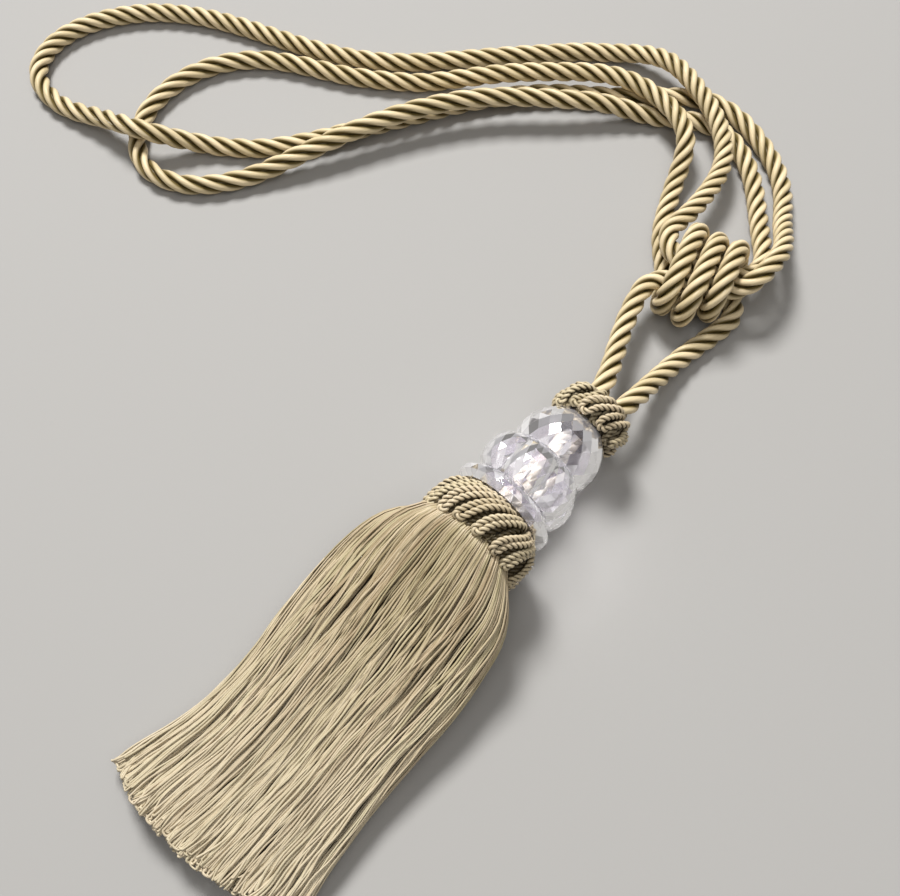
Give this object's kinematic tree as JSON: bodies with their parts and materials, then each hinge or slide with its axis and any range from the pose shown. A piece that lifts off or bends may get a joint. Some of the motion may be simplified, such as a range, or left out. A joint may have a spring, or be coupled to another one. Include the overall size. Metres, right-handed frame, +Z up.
{
  "type": "curtain tieback tassel",
  "caption": "Curtain tieback tassel with a flat-lying yarn skirt, a wound collar, clear beads and a knotted twisted rope that ends in long loops",
  "frame": {"origin": "On the surface the tassel lies on, under the middle of the tassel without its rope", "axes": "+Z up from the surface, +Y along the tassel from its hem to its head, +X across the skirt"},
  "size_m": [0.3295, 0.3637, 0.0447],
  "materials": {
    "skirt_yarn": "fine viscose yarn with a soft sheen, light sand beige",
    "collar_cord": "fine twisted cord wound close, sand beige with dark grooves",
    "rope_yarn": "four-strand twisted satin rope, beige with olive-brown grooves",
    "clear_bead": "clear polished bead with a faint lilac-grey tint"
  },
  "bodies": {
    "root": {"skirt": "skirt_yarn", "collar": "collar_cord", "bead_base": "clear_bead", "bead_flower": "clear_bead", "bead_top": "clear_bead", "rosette": "collar_cord", "core": "rope_yarn", "rope_leg_left": "rope_yarn", "rope_outer_loop": "rope_yarn", "rope_inner_loop": "rope_yarn", "rope_knot": "rope_yarn", "rope_leg_right": "rope_yarn"}
  },
  "joints": []
}
